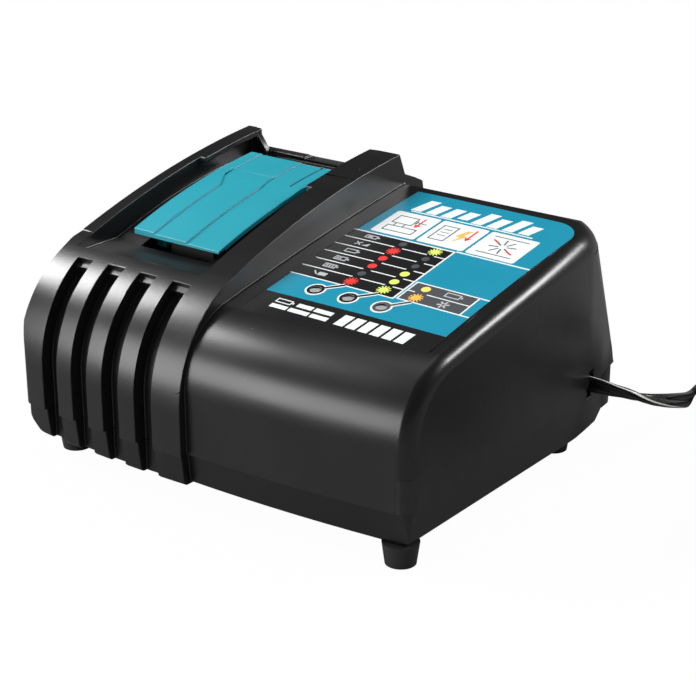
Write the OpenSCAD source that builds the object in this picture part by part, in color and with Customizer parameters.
// Power tool battery charger: a slide-battery bay with a sliding terminal
// cover on the left, a sloped indicator panel on the right, a cooling fan
// under the bay and a twin flex to a vehicle plug.
// Origin: middle of the charger's footprint at the height of its feet.
// +X runs towards the cord side, +Y towards the back, +Z up. Millimetres.

/* [Body] */
// Half width of the charger
half_w = 86.5; // [80:0.5:95]
// Height of the rubber feet
foot_h = 8; // [5:0.5:12]
// Wall thickness of the two shells
wall = 2.5; // [2:0.1:3.5]
// Height of the parting plane half way back
part_z = 23.7; // [20:0.1:28]
// Tilt of the parting plane in degrees, rising to the back
part_tilt = 2.52; // [0:0.01:4]
// Inset of the lower shell at the parting line
low_in = 0.8; // [0.4:0.1:1.5]

/* [Battery bay] */
// Left inner wall of the bay
bay_l = -77.8; // [-79:0.1:-76]
// Right inner wall of the bay
bay_r = -16.9; // [-19:0.1:-16]
// Front edge of the bay
bay_f = -50.3; // [-54:0.1:-46]
// Width of one cooling groove
groove_w = 7.95; // [6:0.05:9]
// Depth of the cooling grooves
groove_d = 5.5; // [3:0.1:7]
// Spacing of the cooling grooves
groove_p = 15.9; // [14:0.1:18]

/* [Terminal cover] */
// Width of the sliding cover
cover_w = 42; // [38:0.5:44]
// Thickness of the sliding cover
cover_t = 3; // [2:0.1:4]
// Radius of the arc the cover slides on
cover_r = 300; // [260:1:340]

/* [Cord] */
// Width of the twin flex
flex_w = 6.2; // [5:0.1:8]
// Thickness of the twin flex
flex_t = 3.1; // [2.5:0.1:4]

/* [Output] */
// Which piece to draw

/* [Hidden] */
$fn = 48;

black = [0.05, 0.05, 0.055];
teal = [0.10, 0.48, 0.56];
metal = [0.75, 0.75, 0.76];
brassy = [0.80, 0.62, 0.25];
eps = 0.01;

// Bay section: two tangent arcs in side view, bowed about a far upright axis.
a_ax = [-30, 441.6];
a_r1 = 45;
a_r2 = 403;
a_an = 20;
a_fc = [475, 36];
a_tc = a_fc - (a_r2 - a_r1 + 0.02) * [sin(a_an), cos(a_an)];
a_ty = a_ax[1] - a_tc[0];

// Panel section: the same construction with its own arcs.
b_ax = [-4.5, 605.7];
b_r1 = 28;
b_r2 = 1400;
b_an = 11.9;
b_fc = [652, 42.9];
b_tc = b_fc - (b_r2 - b_r1) * [sin(b_an), cos(b_an)];
b_ty = b_ax[1] - b_tc[0];

// Arc centre of the sliding cover, in side view.
cv_y = 67;
cv_z = -203.7;
cv_x = -47.4;
cv_front = -29.9;
cv_back = 39.3;
ledge_r = 294.5;
recess_r = 287;

function a_top(y) = sqrt(a_r2 * a_r2 - (y - a_ty) * (y - a_ty)) + a_tc[1];
function b_top(y, x) =
    let (u = sqrt((b_ax[1] - y) * (b_ax[1] - y) + (x - b_ax[0]) * (x - b_ax[0])))
    sqrt(b_r2 * b_r2 - (u - b_tc[0]) * (u - b_tc[0])) + b_tc[1];
function cv_arc(y, r) = sqrt(r * r - (y - cv_y) * (y - cv_y)) + cv_z;
function part_at(y) = part_z + tan(part_tilt) * y;

// ---------------------------------------------------------------- outlines

// Side outline of a section in distance from its upright axis.
module outline(t, fc, tc, r1, r2, an, back, low) {
    intersection() {
        translate(tc) circle(r = r2 - t, $fn = 360);
        polygon([
            [back, low],
            [fc[0], low],
            fc,
            fc + [sin(an), cos(an)] * (r1 * 1.3),
            [back, 140]
        ]);
    }
    intersection() {
        translate(fc) circle(r = r1 - t, $fn = 120);
        polygon([
            fc,
            fc + [sin(an), cos(an)] * (r1 * 1.3),
            fc + [r1 * 1.5, r1 * 1.5],
            fc + [r1 * 1.5, 0]
        ]);
    }
    translate([back, low]) square([fc[0] + r1 - t - back, fc[1] - low]);
}

// Revolves a section outline through the width of the body.
module bowed(ax) {
    translate([ax[0], ax[1], 0]) {
        rotate([0, 0, -102]) rotate_extrude(angle = 24, $fn = 720) children();
    }
}

// Extrudes a drawing of (y, z) along X from x0 to x1.
module along_x(x0, x1) {
    translate([x0, 0, 0]) {
        rotate([90, 0, 90]) linear_extrude(x1 - x0) children();
    }
}

// Extrudes a drawing of (x, z) along Y from y0 to y1.
module along_y(y0, y1) {
    translate([0, y1, 0]) {
        rotate([90, 0, 0]) linear_extrude(y1 - y0) children();
    }
}

// Back outline of the bay section, inset by t.
module a_back(t) {
    polygon([
        [-100, -5],
        [-100, 120],
        [46.6 - t, 120],
        [57.3 - t, 92.3 - t],
        [64.2 - t, 89.5 - t],
        [69.0 - t, 87.2 - t],
        [69.4 - t, 84.2 - t],
        [78.4 - t, 27],
        [78.4 - t, -5]
    ]);
}

// Back outline of the panel section, inset by t, with a rounded top edge.
module b_back(t) {
    bw = 0.158;
    rr = 10 - t;
    y0 = 78.4 - t;
    cy = 57.6;
    cz = 77.3;
    polygon([
        [-100, -5],
        [-100, 120],
        [cy - 1.2, 120],
        [cy - 1.2, cz + rr * 0.9],
        [cy, cz],
        [cy + rr * 0.98, cz + rr * 0.155],
        [y0, 27],
        [y0, -5]
    ]);
    translate([cy, cz]) circle(r = rr, $fn = 72);
}

// Wall outline of the bay section across the width, inset by t.
module a_across(t) {
    polygon([
        [-half_w + t, -5],
        [-half_w + t, 45],
        [-82.5 + t, 101],
        [-81.2 + t, 119],
        [-6.3 - t, 119],
        [-5.5 - t, 101],
        [-4.5 - t, 75],
        [-4.5 - t, -5]
    ]);
}

// Plan of the bay section with rounded corners, inset by t.
module a_plan(t) {
    difference() {
        translate([-half_w + t, -100]) square([half_w - 4.5 - 2 * t, 180]);
        a_corner(t);
    }
}

// Waste outside the rounded front left and back left corners.
module a_corner(t) {
    rf = 6.5 - min(t, 3);
    rb = 9 - min(t, 3);
    difference() {
        translate([-100, -100]) square([100 - half_w + t + rf, 24 + t + rf]);
        translate([-half_w + t + rf, -76 + t + rf]) circle(r = rf);
        translate([-half_w + t + rf, -100]) square([10, 50]);
    }
    difference() {
        translate([-100, 78.4 - t - rb]) square([100 - half_w + t + rb, 30]);
        translate([-half_w + t + rb, 78.4 - t - rb]) circle(r = rb);
    }
}

// Plan of the panel section with its curved right wall, inset by t.
module b_plan(t) {
    rf = 5.5 - min(t, 3);
    intersection() {
        translate([-30, -100]) square([30 + half_w - t, 200]);
        union() {
            translate([-30, -100]) square([200, 100.4]);
            translate([half_w - 420, 0.4]) circle(r = 420 - t, $fn = 360);
        }
        difference() {
            translate([-30, -100]) square([200, 300]);
            difference() {
                translate([half_w - t - rf, -100]) square([30, 31.14 + t + rf]);
                translate([half_w - t - rf, -68.86 + t + rf]) circle(r = rf);
            }
        }
    }
}

// Rounded long edge where the right wall meets the front and the top.
module b_edge(t) {
    rr = 5.5 - min(t, 3);
    xe = half_w - t;
    xc = xe - rr;
    slope = tan(8);
    fy = -40.9;
    ty = b_ty + 6.12;
    r0 = b_r1 - t;
    // front arc
    translate([0, fy, b_fc[1]]) {
        rotate([0, 90, 0]) rotate_extrude($fn = 180) edge_section(r0, rr, xe, 8);
    }
    // top arc
    intersection() {
        translate([0, ty, b_tc[1]]) {
            rotate([0, 90, 0]) {
                rotate([0, 0, 168]) {
                    rotate_extrude(angle = 24, $fn = 1440) {
                        edge_section(b_r2 - t, rr, xe, 2.5);
                    }
                }
            }
        }
        translate([-40, fy, 30]) {
            rotate([b_an, 0, 0]) cube([200, 200, 120]);
        }
    }
    // upright front
    translate([0, 0, -5]) {
        linear_extrude(b_fc[1] + 5) {
            polygon([
                [-40, fy - r0 - (xc + 40) * slope],
                [xc + rr * sin(8), fy - r0 + rr / cos(8) - rr * cos(8)],
                [xc, fy - r0 + rr / cos(8)],
                [xe, fy - r0 + rr / cos(8)],
                [xe, fy + 200],
                [-40, fy + 200]
            ]);
            translate([xc, fy - r0 + rr / cos(8)]) circle(r = rr);
        }
    }
    translate([-40, fy, -5]) cube([xe + 40, 200, b_fc[1] + 25]);
}

// Half section (radius, x) of the rounded edge; a is the slope beside it.
module edge_section(r, rr, xe, a) {
    xc = xe - rr;
    rc = r - rr / cos(a);
    polygon([
        [0, -40],
        [r + (xc + 40) * tan(a), -40],
        [rc + rr * cos(a), xc + rr * sin(a)],
        [rc, xc],
        [rc, xe],
        [0, xe]
    ]);
    translate([rc, xc]) circle(r = rr);
}

// Waste outside the cone shaped back right corner.
function unit(v) = v / norm(v);
cone_n1 = unit([0.99, 0.143, 0]);
cone_n2 = unit([0, 0.9877, 0.156]);
cone_g = 0.46;
cone_dy = -(cone_g + 0.156) / 0.9877;
cone_d = [-(cone_g + 0.143 * cone_dy) / 0.99, cone_dy, 1];
cone_s = cone_g / norm(cone_d);
cone_k = cone_s / sqrt(1 - cone_s * cone_s);
cone_a = atan2(cone_d[1], cone_d[0]);
cone_b = acos(cone_d[2] / norm(cone_d));
cone_ex = [cos(cone_a) * cos(cone_b), sin(cone_a) * cos(cone_b), -sin(cone_b)];
cone_ey = [-sin(cone_a), cos(cone_a), 0];
cone_w1 = [cone_n1 * cone_ex, cone_n1 * cone_ey];
cone_w2 = [cone_n2 * cone_ex, cone_n2 * cone_ey];
cap_c = [58.63, 43.87, 81.06];
cap_r = 20.16;
cap_e0 = [59.81, 6.52];
cap_e1 = [58.44, 66.58];
cap_e2 = [-1.37, 60.06];
module back_cone(t) {
    translate([79.52 - 0.87 * t, 78.95 - t, 23.5]) {
        rotate([0, cone_b, cone_a]) {
            difference() {
                linear_extrude(130) {
                    polygon([[0, 0], cone_w1 * 90, (cone_w1 + cone_w2) * 90, cone_w2 * 90]);
                }
                translate([0, 0, -0.5]) cylinder(h = 131, r1 = 0, r2 = 131 * cone_k, $fn = 120);
            }
        }
    }
    // rounded top edge of the corner
    rr = 5.5 - min(t, 3);
    translate(cap_c) {
        rotate([7.59, 0, 0]) rotate([0, 1.02, 0]) {
            difference() {
                translate([0, 0, 0.3]) {
                    linear_extrude(30) polygon([[0, 0], cap_e0, cap_e1, cap_e2]);
                }
                rotate_extrude($fn = 120) {
                    translate([0, -2]) square([cap_r, rr + 4]);
                    translate([cap_r, 0]) circle(r = rr);
                }
            }
        }
    }
    // rounded top edge along the curved part of the right wall
    edge_waste([81, 0.4, 73.79], 1.6, 9.43, 23.9, rr);
    edge_waste([80.34, 24, 77.71], 4.5, 8.49, 23.3, rr);
}

// Waste outside a rounded edge that runs from p, turned by yaw and pitch.
module edge_waste(p, yaw, pitch, len, rr) {
    translate(p) rotate([0, 0, yaw]) rotate([pitch + 90, 0, 0]) {
        translate([0, 0, -len - 0.2]) {
            linear_extrude(len + 0.4) {
                difference() {
                    translate([0, 0.3]) square([12, 16]);
                    circle(r = rr);
                }
            }
        }
    }
}

// ---------------------------------------------------------------- envelopes

// Bay section of the upper body, inset by t.
module bay_body(t) {
    intersection() {
        bowed(a_ax) outline(t, a_fc, a_tc, a_r1, a_r2, a_an, 350, -5);
        along_y(-100, 100) a_across(t);
        along_x(-100, 20) a_back(t);
        translate([0, 0, -5]) linear_extrude(130) a_plan(t);
    }
}

// Panel section of the upper body, inset by t.
module panel_body(t) {
    difference() {
        intersection() {
            bowed(b_ax) outline(t, b_fc, b_tc, b_r1, b_r2, b_an, 500, -5);
            along_x(-30, 100) b_back(t);
            translate([0, 0, -5]) linear_extrude(130) b_plan(t);
            b_edge(t);
        }
        back_cone(t);
    }
}

// Side outline of the lower shell in distance from the upright axis.
module low_outline(t, front, back) {
    polygon([
        [back, foot_h + t],
        [front - 3.9 - t, foot_h + t],
        [front - 2.5 - t, foot_h + 1.2 + t],
        [front - low_in - t, 24],
        [front - low_in - t, 40],
        [back, 40]
    ]);
}

// Back outline of the lower shell.
module low_back(t) {
    polygon([
        [-100, -5],
        [-100, 40],
        [77.6 - t, 40],
        [77.6 - t, 26],
        [75.6 - t, 19.5 + 0.4 * t],
        [72.6 - t, 14.8 + 0.6 * t],
        [68.5 - t, 11.2 + 0.8 * t],
        [62.5 - t, foot_h + t],
        [62.5 - t, -5]
    ]);
}

// Across outline of the lower shell: rounded bottom edge on the left.
module low_across(t) {
    polygon([
        [-75.5 + t, -5],
        [-75.5 + t, foot_h + t],
        [-79.8 + t, 9.6 + 0.8 * t],
        [-83.2 + t, 13 + 0.6 * t],
        [-85.0 + t, 17.5 + 0.4 * t],
        [-85.7 + t, 23],
        [-85.7 + t, 40],
        [half_w - low_in - t, 40],
        [half_w - low_in - t, 22],
        [half_w - 1.6 - t, foot_h + 1.5 + t],
        [half_w - 3.2 - t, foot_h + t],
        [half_w - 3.2 - t, -5]
    ]);
}

// Whole lower body, inset by t.
module low_body(t) {
    s = t + low_in;
    intersection() {
        union() {
            intersection() {
                bowed(a_ax) low_outline(t, 520, 350);
                translate([0, 0, -5]) linear_extrude(60) a_plan(s);
            }
            intersection() {
                bowed(b_ax) low_outline(t, 680, 500);
                translate([0, 0, -5]) {
                    linear_extrude(60) {
                        difference() {
                            b_plan(s);
                            low_corner(s);
                        }
                    }
                }
            }
        }
        along_y(-100, 100) low_across(t);
        along_x(-100, 100) low_back(t);
    }
}

// Waste outside the back right corner of the lower shell.
module low_corner(s) {
    rr = 8 - min(s, 4);
    difference() {
        translate([80.2 - s - rr, 78 - s - rr]) square([30, 30]);
        translate([80.2 - s - rr, 78 - s - rr]) circle(r = rr);
    }
}

// Everything above the tilted parting plane.
module above() {
    translate([0, 0, part_z]) {
        rotate([part_tilt, 0, 0]) translate([-150, -150, 0]) cube([300, 300, 150]);
    }
}

// ---------------------------------------------------------------- grooves

groove_x = [for (i = [0:3]) -73.2 + i * groove_p];

// Side outline of the strip that the grooves run in, from their closed top down.
module groove_run(grow) {
    polygon([
        [-56.1 - 12 * 0.49 + grow * 0.87, 76 + 12 * 0.87 + grow * 0.49],
        [-56.1 + 14 * 0.49 + grow * 0.87, 76 - 14 * 0.87 + grow * 0.49],
        [-50 + grow, 40],
        [-50 + grow, -5],
        [-100, -5],
        [-100, 87]
    ]);
}

// Grooves cut to depth d, widened by w on each side.
module grooves(d, w, grow) {
    difference() {
        for (x = groove_x) {
            along_x(x - w, x + groove_w + w) groove_run(grow);
        }
        bowed(a_ax) outline(d, a_fc, a_tc, a_r1, a_r2, a_an, 350, -6);
    }
}

// ---------------------------------------------------------------- battery bay

// Side outline of the bay above its floor; r is the floor arc radius.
module bay_side(f, r, b) {
    difference() {
        translate([f, 60]) square([b - f, 70]);
        intersection() {
            translate([cv_y, cv_z]) circle(r = r, $fn = 360);
            translate([cv_front, 0]) square([b - cv_front + 5, 200]);
        }
        translate([f - 1, 0]) square([cv_front - f + 1 + eps, cv_arc(cv_front, r)]);
    }
}

module bay_cut() {
    lip_y = 18.7;
    difference() {
        union() {
            along_x(bay_l, bay_r) bay_side(bay_f, ledge_r, 53);
            along_x(bay_l, -52) translate([50, 92.5]) square([30, 40]);
            along_x(-52.5, bay_r) translate([50, 91.3]) square([30, 40]);
        }
        // lips that hold the battery down
        along_x(bay_l - 1, bay_l + 3) lip(lip_y);
        along_x(bay_r - 3, bay_r + 1) lip(13);
        // corner gusset at the back of the left wall
        along_y(50.6, 53.4) {
            polygon([[-79, 99.6], [-75.6, 99.6], [-70.3, 92.4], [-70.3, 80], [-79, 80]]);
        }
    }
    // recess under the sliding cover
    along_x(-64, -30.8) bay_side(-31, recess_r, 50.5);
    // undercuts for the hooks of the cover
    along_x(-67.2, -27.6) {
        intersection() {
            difference() {
                translate([cv_y, cv_z]) circle(r = 292.2, $fn = 360);
                translate([cv_y, cv_z]) circle(r = recess_r, $fn = 360);
            }
            translate([-30.6, 0]) square([81.1, 200]);
        }
    }
    // air outlet in the floor of the recess
    translate([-58.4, -30.4, 55]) cube([22, 8.8, 30]);
}

// Side outline of one lip.
module lip(y0) {
    difference() {
        translate([y0, 80]) square([53.5 - y0, 40]);
        translate([a_ty, a_tc[1]]) circle(r = a_r2 - 2.9, $fn = 360);
    }
}

// Walls of the tub that carries the bay inside the body.
module tub() {
    along_x(-90, bay_r + 2.2) bay_side(bay_f - 2.2, ledge_r - 4.6, 80);
    along_x(-69.5, -25.4) bay_side(-33.4, recess_r - 2.2, 56);
}

// ---------------------------------------------------------------- fixings

screw_at = [[-62, -60], [70, -48], [-62, 47], [70, 30]];
clamp_at = [[61, 49.6], [61, 59.6]];
lead_holes = [[-56, -10], [-38.8, -10]];
board_x = -8;
board_y = -56;
board_w = 66;
board_l = 98;
board_z = 19;
board_holes = [[-4, -52], [54, -52], [-4, 38], [54, 38]];
foot_at = [[79.3, -62.6], [-73.9, -60.3], [72, 47], [-72, 47]];
led_at = [[19.3, -31.1], [33.5, -31], [47.7, -31]];
led_posts = [[11.2, -31], [56.2, -31]];
fan_c = [-47, -18];
fan_z = 12.2;
fan_w = 50;
fan_h = 15;

module at(points) {
    for (p = points) {
        translate([p[0], p[1], 0]) children();
    }
}

// ---------------------------------------------------------------- shells

module upper_housing() {
    color(black) {
        difference() {
            union() {
                // shell
                difference() {
                    upper_solid(0);
                    difference() {
                        union() {
                            difference() {
                                bay_body(wall);
                                grooves(groove_d + 2, 2, 2.4);
                            }
                            intersection() {
                                panel_body(wall);
                                translate([-12, -100, -10]) cube([120, 200, 150]);
                            }
                        }
                        tub();
                    }
                }
                // screw posts, indicator posts
                intersection() {
                    upper_solid(1);
                    union() {
                        at(screw_at) translate([0, 0, 10]) cylinder(d = 8, h = 90);
                        at(led_posts) {
                            translate([0, 0, 58]) cylinder(d = 6, h = 40);
                        }
                        at(led_at) translate([0, 0, 69]) cylinder(d = 7.4, h = 20);
                    }
                }
            }
            grooves(groove_d, 0, -2.4);
            grooves(2.2, 0, 0);
            bay_cut();
            label_seat(0.35);
            at(led_at) translate([0, 0, 60]) cylinder(d = 4.4, h = 40);
            at(screw_at) translate([0, 0, 20]) cylinder(d = 3.4, h = 24);
            at(led_posts) translate([0, 0, 50]) cylinder(d = 2.2, h = 16);
            cord_slot();
            at(lead_holes) translate([0, 0, 60]) cylinder(d = 2.6, h = 20);
        }
    }
}

module upper_solid(t) {
    intersection() {
        union() {
            bay_body(t);
            panel_body(t);
        }
        above();
    }
}

// Slot for the cord at the parting line of the right wall.
module cord_slot() {
    translate([70, 52.6, 20.6]) cube([30, 4, 11.4]);
}

module lower_housing() {
    color(black) {
        difference() {
            union() {
                difference() {
                    low_body(0);
                    difference() {
                        low_body(wall);
                        grooves(groove_d + 2, 2, 2);
                    }
                }
                intersection() {
                    low_body(1);
                    union() {
                        at(screw_at) cylinder(d = 9.6, h = 40);
                        at(board_holes) cylinder(d = 7, h = board_z);
                        at(fan_posts()) cylinder(d = 5, h = fan_z);
                        translate([55, 47.4, 0]) cube([12, 14.4, 22]);
                    }
                }
            }
            above();
            grooves(groove_d, 0, 0);
            cord_slot();
            // screw wells
            at(screw_at) translate([0, 0, 5]) cylinder(d = 6.8, h = 13);
            at(screw_at) translate([0, 0, 5]) cylinder(d = 3.8, h = 30);
            // stems of the feet
            at(foot_at) translate([0, 0, 5]) cylinder(d = 5, h = 8);
            // board and fan screws
            at(board_holes) translate([0, 0, 11]) cylinder(d = 2.2, h = 12);
            at(fan_posts()) translate([0, 0, 8.9]) cylinder(d = 2.6, h = 12);
            // clamp screws
            at(clamp_at) translate([0, 0, 12]) cylinder(d = 2.2, h = 20);
            // air intake under the fan, with a hub and two spokes left standing
            translate([fan_c[0], fan_c[1], 5]) {
                linear_extrude(8) {
                    difference() {
                        for (i = [-4:4]) {
                            half = sqrt(22 * 22 - i * i * 25) - 1;
                            translate([i * 5 - 1.3, -half]) square([2.6, 2 * half]);
                        }
                        circle(r = 7);
                        translate([-23, -1.5]) square([46, 3]);
                    }
                }
            }
            // ventilation slots under the board
            for (i = [0:5]) {
                translate([2 + i * 8, -20, 5]) cube([3, 40, 8]);
            }
        }
    }
}

function fan_posts() = [
    for (sx = [-1, 1]) for (sy = [-1, 1]) [fan_c[0] + sx * 20, fan_c[1] + sy * 20]
];

// ---------------------------------------------------------------- sliding cover

// Ring sector of the cover between two radii and two places front to back.
module cover_arc(r0, r1, y0, y1) {
    intersection() {
        difference() {
            translate([cv_y, cv_z]) circle(r = r1, $fn = 360);
            translate([cv_y, cv_z]) circle(r = r0, $fn = 360);
        }
        translate([y0, 40]) square([y1 - y0, 80]);
    }
}

// Field of the cover: plan outline, top radius before and behind the ramp.
module cover_field(plan, r_front, r_back) {
    intersection() {
        translate([0, 0, 60]) linear_extrude(50) polygon(plan);
        along_x(cv_x - 30, cv_x + 30) {
            cover_arc(cover_r - 1.6, r_front, cv_front, 12.5);
            polygon([
                [12.4, cv_arc(12.4, cover_r - 1.6)],
                [12.4, cv_arc(12.4, r_front)],
                [17.6, cv_arc(17.6, r_back)],
                [17.6, cv_arc(17.6, cover_r - 1.6)]
            ]);
            cover_arc(cover_r - 1.6, r_back, 17.5, cv_back);
        }
    }
}

module terminal_cover() {
    xl = cv_x - cover_w / 2;
    xr = cv_x + cover_w / 2;
    color(teal) {
        difference() {
            union() {
                along_x(xl, xr) {
                    cover_arc(cover_r - cover_t, cover_r - 1.4, cv_front + 4, cv_back);
                    cover_arc(cover_r - 2.2, cover_r - 1.4, cv_front, cv_front + 5);
                }
                // left field, middle field and right field stand up in steps
                cover_field([
                    [xl, -40], [-58.2, -40], [-58.2, 8], [-62.8, 16], [-62.8, 60], [xl, 60]
                ], cover_r, cover_r);
                cover_field([
                    [-58.3, -40], [-42, -40], [-42, 13], [-42.8, 18], [-42.8, 60],
                    [-62.9, 60], [-62.9, 16], [-58.3, 8]
                ], cover_r - 0.55, cover_r - 0.35);
                cover_field([
                    [-42.1, -40], [xr, -40], [xr, 60], [-42.9, 60], [-42.9, 18], [-42.1, 13]
                ], cover_r - 1.15, cover_r - 0.8);
            }
            // slot beside the right back strip
            along_x(xr - 6.4, xr - 5.2) cover_arc(290, 310, 18.5, 60);
        }
    }
}

module cover_guides() {
    color(teal) {
        for (y0 = [-20, 6]) {
            for (s = [-1, 1]) {
                x0 = cv_x + s * 14.3;
                along_x(min(x0, x0 + s * 1.9), max(x0, x0 + s * 1.9)) {
                    cover_arc(288.4, cover_r - cover_t, y0, y0 + 12);
                }
                x1 = cv_x + s * 16;
                along_x(min(x1, x1 + s * 2.8), max(x1, x1 + s * 2.8)) {
                    cover_arc(288.4, 291.4, y0, y0 + 12);
                }
            }
        }
        // cross rib that the spring pushes on
        along_x(cv_x - 14.6, cv_x + 14.6) cover_arc(289.5, cover_r - cover_t, 17.6, 19.4);
    }
}

// Rolled strip spring that rides in front of the cross rib.
module return_spring() {
    color(metal) {
        translate([cv_x - 5, 13.4, cv_arc(13.4, 292.8)]) {
            rotate([0, 90, 0]) {
                difference() {
                    cylinder(d = 7, h = 10);
                    translate([0, 0, -1]) cylinder(d = 3, h = 12);
                }
            }
        }
    }
}

module terminal_block() {
    color(black) {
        difference() {
            along_x(-58, -37) {
                intersection() {
                    difference() {
                        translate([cv_y, cv_z]) circle(r = 291.5, $fn = 360);
                        translate([cv_y, cv_z]) circle(r = recess_r, $fn = 360);
                    }
                    translate([-21, 0]) square([26, 200]);
                }
            }
            for (x = [-56, -52.2, -47.4, -42.6, -38.8]) {
                translate([x - 0.4, -17, 0]) cube([0.8, 14, 120]);
            }
        }
    }
}

module blade(x, y0, y1) {
    along_x(x - 0.4, x + 0.4) {
        intersection() {
            difference() {
                translate([cv_y, cv_z]) circle(r = 295.4, $fn = 360);
                translate([cv_y, cv_z]) circle(r = recess_r, $fn = 360);
            }
            translate([y0, 60]) square([y1 - y0, 54]);
        }
    }
}

module power_terminals() {
    color(brassy) {
        blade(-56, -17, -3);
        blade(-38.8, -17, -3);
    }
}

module signal_terminals() {
    color(brassy) {
        blade(-52.2, -17, -3);
        blade(-47.4, -17, -3);
        blade(-42.6, -17, -3);
    }
}

// ---------------------------------------------------------------- panel

// Plan outline of the label, inset by g.
module label_plan(g) {
    intersection() {
        polygon([
            [2.2 + g, -60], [79 - g, -60], [79 - g, 52.4 - g], [4.3 + g, 52.4 - g]
        ]);
        union() {
            translate([0, -60]) square([90, 101.4]);
            translate([0, -60]) square([67.5, 130]);
            translate([67.5, 40.9]) circle(r = 11.5 - g);
        }
        translate(b_ax) circle(r = 659.2 - g, $fn = 1440);
    }
}

// Seat of the label: the top d millimetres under the panel surface.
module label_seat(d) {
    difference() {
        translate([0, 0, 50]) linear_extrude(60) label_plan(0);
        panel_sheet(d);
    }
}

module panel_sheet(d) {
    bowed(b_ax) outline(d, b_fc, b_tc, b_r1, b_r2, b_an, 500, -5);
}

module control_label() {
    color([0.08, 0.40, 0.48]) {
        difference() {
            intersection() {
                translate([0, 0, 50]) linear_extrude(60) label_plan(0.1);
                panel_sheet(0);
            }
            panel_sheet(0.35);
            at(led_at) translate([0, 0, 60]) cylinder(d = 4.4, h = 40);
        }
    }
}

module light_guides() {
    color([0.85, 0.88, 0.9]) {
        for (p = led_at) {
            translate([p[0], p[1], 58.4]) cylinder(d = 4.2, h = b_top(p[1], p[0]) - 58.55);
        }
        at(led_at) translate([0, 0, 64]) cylinder(d = 6, h = 1.5);
    }
}

module indicator_leds() {
    color([0.8, 0.2, 0.15]) {
        at(led_at) translate([0, 0, 54.2]) cylinder(d = 3.2, h = 3.8);
    }
}

module indicator_board() {
    color([0.08, 0.30, 0.16]) {
        difference() {
            translate([6, -38.6, 52.6]) cube([55.4, 15, 1.6]);
            at(led_posts) translate([0, 0, 50]) cylinder(d = 2.6, h = 8);
        }
    }
    color([0.08, 0.30, 0.16]) {
        at(led_posts) {
            translate([0, 0, 54.2]) {
                difference() {
                    cylinder(d = 5, h = 3.8);
                    translate([0, 0, -1]) cylinder(d = 2.6, h = 6);
                }
            }
        }
    }
}

module indicator_screws() {
    color(metal) {
        at(led_posts) {
            translate([0, 0, 51]) cylinder(d = 4.4, h = 1.6);
            translate([0, 0, 52]) cylinder(d = 2.2, h = 12);
        }
    }
}

// ---------------------------------------------------------------- electronics

bz = board_z + 1.6;

module main_board() {
    color([0.08, 0.30, 0.16]) {
        difference() {
            translate([board_x, board_y, board_z]) cube([board_w, board_l, 1.6]);
            at(board_holes) translate([0, 0, 10]) cylinder(d = 2.6, h = 20);
        }
    }
}

module board_screws() {
    color(metal) {
        at(board_holes) translate([0, 0, bz]) cylinder(d = 4.6, h = 1.8);
        at(board_holes) translate([0, 0, 12]) cylinder(d = 2.2, h = 9);
    }
}

module inductor_core() {
    color([0.75, 0.68, 0.25]) {
        translate([14, -14, bz + 1.2]) {
            difference() {
                cylinder(d = 30, h = 12);
                translate([0, 0, -1]) cylinder(d = 15, h = 14);
            }
        }
    }
}

module inductor_winding() {
    color([0.72, 0.38, 0.16]) {
        translate([14, -14, bz]) {
            difference() {
                for (a = [0:20:300]) {
                    rotate([0, 0, a]) translate([5.6, -1.1, 0]) cube([11.4, 2.2, 14.4]);
                }
                translate([0, 0, 1.2]) {
                    difference() {
                        cylinder(d = 30, h = 12);
                        translate([0, 0, -1]) cylinder(d = 15, h = 14);
                    }
                }
            }
        }
    }
}

module heat_sink() {
    color(metal) {
        translate([12, 14, bz]) {
            cube([38, 4, 34]);
            for (i = [0:6]) {
                translate([i * 6, 3.9, 0]) cube([1.6, 14.1, 34]);
            }
        }
    }
}

module power_transistors() {
    color(black) {
        for (i = [0:2]) {
            translate([14 + i * 12, 9.4, bz + 6]) cube([10, 4.6, 15]);
        }
    }
    color(metal) {
        for (i = [0:2]) {
            for (k = [-1:1]) {
                translate([18.6 + i * 12 + k * 2.5, 11.2, bz]) cube([0.8, 0.6, 6]);
            }
        }
    }
}

module heat_sink_screws() {
    color(metal) {
        for (i = [0:2]) {
            translate([19 + i * 12, 9.4, bz + 17]) {
                rotate([90, 0, 0]) cylinder(d = 4.6, h = 1.8);
            }
        }
    }
}

module capacitors() {
    color([0.10, 0.12, 0.30]) {
        at([[40, -10], [40, -25], [40, -40]]) translate([0, 0, bz]) cylinder(d = 12.5, h = 25);
        at([[2, -42], [14, -42]]) translate([0, 0, bz]) cylinder(d = 8, h = 14);
    }
}

module control_chip() {
    color([0.04, 0.04, 0.04]) {
        translate([-4, 14, bz]) cube([10, 10, 2]);
    }
    color(metal) {
        for (i = [0:6]) {
            translate([-5.2, 14.8 + i * 1.3, bz]) cube([1.3, 0.5, 0.6]);
            translate([5.9, 14.8 + i * 1.3, bz]) cube([1.3, 0.5, 0.6]);
        }
    }
}

module board_fuse() {
    color([0.85, 0.88, 0.9]) {
        translate([53, -22, bz + 5.5]) rotate([-90, 0, 0]) cylinder(d = 5, h = 20);
    }
}

module fuse_clips() {
    color(metal) {
        for (y = [-22.6, -7.4]) {
            difference() {
                translate([49.6, y, bz]) cube([6.8, 6, 8.6]);
                translate([53, y - 1, bz + 5.5]) rotate([-90, 0, 0]) cylinder(d = 5, h = 8);
                translate([51.6, y - 1, bz + 6]) cube([2.8, 8, 4]);
            }
        }
    }
}

module buzzer() {
    color([0.04, 0.04, 0.04]) {
        translate([-1, 6, bz]) {
            difference() {
                cylinder(d = 11, h = 7.5);
                translate([0, 0, 5]) cylinder(d = 2, h = 4);
            }
        }
    }
}

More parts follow.
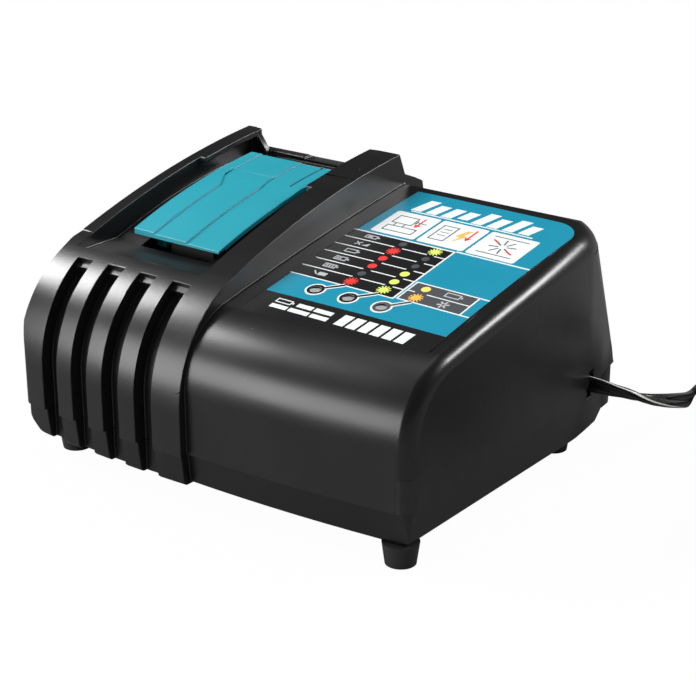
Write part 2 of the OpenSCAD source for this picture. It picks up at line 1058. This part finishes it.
module lead_connectors() {
    color([0.9, 0.88, 0.8]) {
        for (p = [[42, 37.2], [-7, -30], [-7, 30]]) {
            translate([p[0], p[1], bz]) {
                difference() {
                    cube([8, 4.4, 7]);
                    translate([1, 1, 2]) cube([6, 2.4, 6]);
                }
            }
        }
    }
}

// ---------------------------------------------------------------- fan and air duct

module fan_frame() {
    color(black) {
        translate([fan_c[0], fan_c[1], fan_z]) {
            difference() {
                translate([-fan_w / 2, -fan_w / 2, 0]) cube([fan_w, fan_w, fan_h]);
                translate([0, 0, -1]) cylinder(r = 23.6, h = fan_h + 2, $fn = 96);
                for (sx = [-1, 1]) {
                    for (sy = [-1, 1]) {
                        translate([sx * 20, sy * 20, -1]) cylinder(d = 3.4, h = 20);
                        translate([sx * 20, sy * 20, 3]) {
                            rotate([0, 0, 45]) {
                                translate([sx == sy ? -2.6 : -6, sx == sy ? -6 : -2.6, 0]) {
                                    cube([sx == sy ? 5.2 : 12, sx == sy ? 12 : 5.2, 9]);
                                }
                            }
                        }
                    }
                }
            }
            // motor holder and its arms
            difference() {
                union() {
                    cylinder(d = 20, h = 2);
                    for (a = [45:90:315]) {
                        rotate([0, 0, a]) translate([8, -1.2, 0]) cube([16.2, 2.4, 2]);
                    }
                }
            }
            translate([0, 0, 1.5]) cylinder(d = 4, h = 9.5);
        }
    }
}

module fan_rotor() {
    color([0.06, 0.06, 0.06]) {
        translate([fan_c[0], fan_c[1], fan_z]) {
            difference() {
                translate([0, 0, 2.6]) cylinder(d = 20, h = 11.4);
                translate([0, 0, 2]) cylinder(d = 17.6, h = 10.4);
            }
            difference() {
                translate([0, 0, 4]) cylinder(d = 8, h = 9);
                translate([0, 0, 3]) cylinder(d = 4.1, h = 8.3);
            }
            difference() {
                for (a = [0:360 / 7:359]) {
                    rotate([0, 0, a]) {
                        translate([9.4, 0, 8.3]) {
                            rotate([38, 0, 0]) translate([0, -7.2, -0.6]) cube([15, 14.4, 1.2]);
                        }
                    }
                }
                difference() {
                    translate([0, 0, -10]) cylinder(d = 90, h = 50);
                    translate([0, 0, 3.4]) cylinder(d = 45.8, h = 10.2, $fn = 96);
                }
                translate([0, 0, -1]) cylinder(d = 19, h = 20);
            }
        }
    }
}

module fan_screws() {
    color(metal) {
        at(fan_posts()) translate([0, 0, fan_z + 3]) cylinder(d = 5, h = 2);
        at(fan_posts()) translate([0, 0, 9.2]) cylinder(d = 2.6, h = 8);
    }
}

module air_duct() {
    z0 = fan_z + fan_h;
    color(black) {
        difference() {
            union() {
                translate([fan_c[0] - 25, fan_c[1] - 25, z0]) cube([50, 50, 8]);
                intersection() {
                    translate([-60, -32, z0 + 4]) cube([25.2, 12, 60]);
                    along_x(-70, -30) translate([cv_y, cv_z]) circle(r = recess_r - 2.6, $fn = 360);
                }
            }
            translate([fan_c[0] - 23.4, fan_c[1] - 23.4, z0 - 1]) cube([46.8, 46.8, 7.4]);
            translate([-58.4, -30.4, z0 + 3]) cube([22, 8.8, 60]);
        }
    }
}

// ---------------------------------------------------------------- wiring

// Six sided outline of a round wire.
function wire_shape(d) = [for (k = [0:5]) [cos(k * 60), sin(k * 60)] * d / 2];

// Soft wire through a list of points.
module wire(pts, d) {
    soft = spread(pts, 3);
    sweep(soft, [for (p = soft) 0], wire_shape(d));
}

module output_leads() {
    color([0.7, 0.1, 0.1]) {
        wire([
            [-56, -10, 72.4], [-56, -10, 70], [-55.8, -9.9, 67.5], [-52, -8.6, 63.5],
            [-34, -2, 60], [-11, 14, 50], [-6, 30, 38], [-4.6, 32.2, 25]
        ], 1.8);
    }
    color(black) {
        wire([
            [-38.8, -10, 72.4], [-38.8, -10, 70], [-38.6, -9.9, 67.5], [-35.6, -8.6, 66],
            [-24, -2, 63.6], [-8, 16, 54], [-1.4, 30, 41], [-1.4, 32.2, 25]
        ], 1.8);
    }
}

module fan_leads() {
    color([0.7, 0.1, 0.1]) {
        wire([[-21.9, -27.4, 20.4], [-16, -27.4, 20.6], [-12, -27.4, 28], [-5, -27.4, 31], [-4.6, -27.8, 25]], 1.2);
    }
    color(black) {
        wire([[-21.9, -29.6, 20.4], [-16, -29.6, 20.6], [-12, -29.6, 32], [-3, -28.6, 34], [-1.4, -27.8, 25]], 1.2);
    }
}

module cord_clamp() {
    color(black) {
        difference() {
            translate([57, 47.6, 25.6]) cube([8, 14, 3.2]);
            at(clamp_at) translate([0, 0, 20]) cylinder(d = 2.6, h = 20);
        }
    }
}

module clamp_screws() {
    color(metal) {
        at(clamp_at) translate([0, 0, 28.8]) cylinder(d = 4.4, h = 1.6);
        at(clamp_at) translate([0, 0, 14]) cylinder(d = 2.2, h = 15);
    }
}

module rubber_feet() {
    color([0.03, 0.03, 0.03]) {
        at(foot_at) cylinder(r1 = 5.4, r2 = 6.5, h = foot_h);
        at(foot_at) translate([0, 0, foot_h - eps]) cylinder(d = 5, h = 4);
    }
}

module housing_screws() {
    color(metal) {
        at(screw_at) {
            difference() {
                translate([0, 0, 15.6]) cylinder(d = 6, h = 2.4);
                translate([-0.5, -2, 15]) cube([1, 4, 1.6]);
                translate([-2, -0.5, 15]) cube([4, 1, 1.6]);
            }
            translate([0, 0, 17.9]) cylinder(d = 3.4, h = 22);
        }
    }
}

// ---------------------------------------------------------------- cord and plug

// Hand laid route of the flex from inside the body to the coil.
route = [
    [46, 41.8, 24.2], [46.6, 46, 24.2], [51, 51.6, 24], [58, 54.4, 23.8], [65.4, 54.6, 23.8],
    [72, 54.6, 25.2], [80, 54.6, 26.2], [86, 55.2, 26.1], [91, 56.6, 25.4], [95, 58.6, 24.6],
    [98, 62.3, 22.6], [100, 66.5, 20.8], [101.5, 72, 18.8], [102, 80, 16], [101, 90, 12.4],
    [98.8, 100, 8.6], [96.2, 109, 5.2], [93.8, 117, 3], [92.2, 125, 1.9], [91.5, 134, 1.7],
    [91.4, 145, 1.7]
];
route_roll = [
    90, 90, 90, 90, 90, 30, 0, 0, 5, 10, 15, 20, 30, 40, 50, 60, 70, 80, 90, 90, 90
];
tail = [
    [173.6, 152, 3.3], [173.8, 142, 3.3], [172.5, 132, 4], [169.6, 122, 7],
    [166.8, 113, 11], [165, 106, 13.4], [165, 99, 14]
];
tail_roll = [0, 0, 0, 0, 0, 0, 0];

function cr(p, i, t) =
    let (
        a = p[max(i - 1, 0)],
        b = p[i],
        c = p[min(i + 1, len(p) - 1)],
        d = p[min(i + 2, len(p) - 1)]
    )
    0.5 * (2 * b + (c - a) * t + (2 * a - 5 * b + 4 * c - d) * t * t
        + (3 * b - a - 3 * c + d) * t * t * t);

function spread(p, n) = concat(
    [for (i = [0:len(p) - 2]) for (k = [0:n - 1]) cr(p, i, k / n)],
    [p[len(p) - 1]]
);

// Eight points round the figure of the flex; standing on edge at roll 0.
flex_shape = [
    for (q = [[1, 0.62], [0.58, 1], [-0.58, 1], [-1, 0.62], [-1, -0.62], [-0.58, -1], [0.58, -1], [1, -0.62]])
        [q[0] * flex_t / 2, q[1] * flex_w / 2]
];

function ring(c, f, roll, shape) =
    let (
        side = unit(abs(f[2]) > 0.99 ? cross(f, [0, 1, 0]) : cross(f, [0, 0, 1])),
        up = cross(side, f)
    )
    [for (q = shape)
        let (
            s = q[0] * cos(roll) - q[1] * sin(roll),
            u = q[0] * sin(roll) + q[1] * cos(roll)
        )
        c + side * s + up * u];

module sweep(pts, rolls, shape) {
    n = len(pts);
    m = len(shape);
    dirs = [for (i = [0:n - 1]) unit(pts[min(i + 1, n - 1)] - pts[max(i - 1, 0)])];
    rings = [for (i = [0:n - 1]) ring(pts[i], dirs[i], rolls[i], shape)];
    verts = [for (r = rings) for (p = r) p];
    faces = concat(
        [[for (k = [0:m - 1]) k]],
        [for (i = [0:n - 2]) for (k = [0:m - 1])
            [i * m + k, (i + 1) * m + k, (i + 1) * m + (k + 1) % m, i * m + (k + 1) % m]],
        [[for (k = [m - 1:-1:0]) (n - 1) * m + k]]
    );
    polyhedron(points = verts, faces = faces, convexity = 10);
}

coil_c = [133, 146, 0];

module power_cord() {
    color([0.03, 0.03, 0.03]) {
        sweep(spread(route, 3), spread(route_roll, 3), flex_shape);
    }
}

module cord_coil() {
    color([0.03, 0.03, 0.03]) {
        translate(coil_c) {
            rotate_extrude($fn = 120) {
                translate([25.1, 0]) {
                    translate([1.6, 0]) square([9.6, 12.6]);
                    translate([0, 1.6]) square([12.8, 9.4]);
                    for (q = [[1.6, 1.6], [11.2, 1.6], [1.6, 11], [11.2, 11]]) {
                        translate(q) circle(r = 1.6, $fn = 24);
                    }
                }
            }
        }
    }
}

module cord_tie() {
    color([0.10, 0.10, 0.10]) {
        translate(coil_c + [31.5, 0, 0]) {
            difference() {
                translate([-7.2, -1.6, 0]) cube([14.4, 3.2, 13.7]);
                translate([-6.5, -2, -1]) cube([13, 4, 13.7]);
            }
        }
    }
}

module plug_lead() {
    color([0.03, 0.03, 0.03]) {
        sweep(spread(tail, 3), spread(tail_roll, 3), flex_shape);
    }
}

// The plug lies along -Y with its tip to the front.
module on_plug() {
    translate([165, 0, 14]) rotate([90, 0, 0]) children();
}

module plug_relief() {
    color([0.03, 0.03, 0.03]) {
        on_plug() {
            difference() {
                union() {
                    translate([0, 0, -98]) cylinder(d1 = 9, d2 = 12, h = 18);
                    translate([0, 0, -80]) cylinder(d = 12, h = 4.2);
                    translate([0, 0, -78.8]) cylinder(d = 15, h = 3);
                }
                translate([0, 0, -99]) translate([-1.75, -3.3, 0]) cube([3.5, 6.6, 22]);
                for (i = [0:3]) {
                    translate([-8, -8, -95 + i * 3.4]) cube([16, 4, 1.3]);
                    translate([-8, 4, -95 + i * 3.4]) cube([16, 4, 1.3]);
                }
            }
        }
    }
}

module plug_shell() {
    color(black) {
        on_plug() {
            difference() {
                union() {
                    translate([0, 0, -80]) cylinder(d1 = 22, d2 = 27, h = 12);
                    translate([0, 0, -68]) cylinder(d = 27, h = 12);
                    translate([0, 0, -56]) cylinder(d1 = 27, d2 = 21, h = 4);
                    translate([0, 0, -52]) cylinder(d = 21.4, h = 11);
                    translate([0, 0, -41]) cylinder(d = 21, h = 13);
                }
                translate([0, 0, -77]) cylinder(d = 15.4, h = 5);
                translate([0, 0, -79]) cylinder(d = 15.4, h = 4);
                translate([0, 0, -81]) cylinder(d = 12.4, h = 6);
                translate([0, 0, -72.1]) cylinder(d = 16, h = 50);
                for (s = [-1, 1]) {
                    translate([s > 0 ? 6.4 : -12.4, -2.4, -50.8]) cube([6, 4.8, 8.6]);
                }
                translate([0, 0, -62]) rotate([-90, 0, 0]) cylinder(d = 5, h = 20);
                for (i = [0:5]) {
                    for (s = [-1, 1]) {
                        translate([s > 0 ? 12.7 : -14.7, -8, -78 + i * 3.4]) cube([2, 16, 1.4]);
                    }
                }
            }
        }
    }
}

module plug_cap() {
    color(black) {
        on_plug() {
            difference() {
                union() {
                    translate([0, 0, -28]) cylinder(d = 21, h = 5);
                    translate([0, 0, -23]) cylinder(d1 = 21, d2 = 15, h = 8);
                    translate([0, 0, -32]) cylinder(d = 15.9, h = 4.1);
                }
                translate([0, 0, -33]) cylinder(d = 9.4, h = 15.6);
                translate([0, 0, -18]) cylinder(d = 7.1, h = 5);
            }
        }
    }
}

module plug_tip() {
    color(metal) {
        on_plug() {
            translate([0, 0, -20.2]) cylinder(d = 9, h = 2.4);
            translate([0, 0, -19]) cylinder(d = 7, h = 7.4);
            intersection() {
                translate([0, 0, -13.2]) sphere(d = 7.6, $fn = 32);
                translate([0, 0, -11.7]) cylinder(d = 7, h = 6);
            }
        }
    }
}

module plug_tip_spring() {
    turns = 7;
    steps = 9 * turns;
    helix = [
        for (i = [0:steps])
            [2.6 * cos(i * 40), 2.6 * sin(i * 40), -40.4 + 16 * i / steps]
    ];
    color(metal) {
        on_plug() sweep(helix, [for (p = helix) 0], wire_shape(0.8));
    }
}

module plug_fuse() {
    color([0.85, 0.88, 0.9]) {
        on_plug() translate([0, 0, -71]) cylinder(d = 6.3, h = 30);
    }
}

module plug_side_contacts() {
    color(metal) {
        on_plug() {
            for (s = [-1, 1]) {
                intersection() {
                    translate([s > 0 ? 6.6 : -12.6, -2.4, -50.8]) cube([6, 4.8, 8.6]);
                    translate([s * 3.4, 3, -46.5]) rotate([90, 0, 0]) cylinder(r = 8.6, h = 6);
                }
            }
        }
    }
}

module plug_screw() {
    color(metal) {
        on_plug() {
            translate([0, 9, -62]) {
                rotate([-90, 0, 0]) {
                    difference() {
                        cylinder(d = 5, h = 2.4);
                        translate([-0.4, -2, 1.6]) cube([0.8, 4, 1]);
                    }
                }
            }
        }
    }
}

upper_housing();
lower_housing();
terminal_cover();
cover_guides();
return_spring();
terminal_block();
power_terminals();
signal_terminals();
control_label();
light_guides();
indicator_leds();
indicator_board();
indicator_screws();
main_board();
board_screws();
inductor_core();
inductor_winding();
heat_sink();
power_transistors();
heat_sink_screws();
capacitors();
control_chip();
board_fuse();
fuse_clips();
buzzer();
lead_connectors();
fan_frame();
fan_rotor();
fan_screws();
air_duct();
output_leads();
fan_leads();
cord_clamp();
clamp_screws();
rubber_feet();
housing_screws();
power_cord();
cord_coil();
cord_tie();
plug_lead();
plug_relief();
plug_shell();
plug_cap();
plug_tip();
plug_tip_spring();
plug_fuse();
plug_side_contacts();
plug_screw();
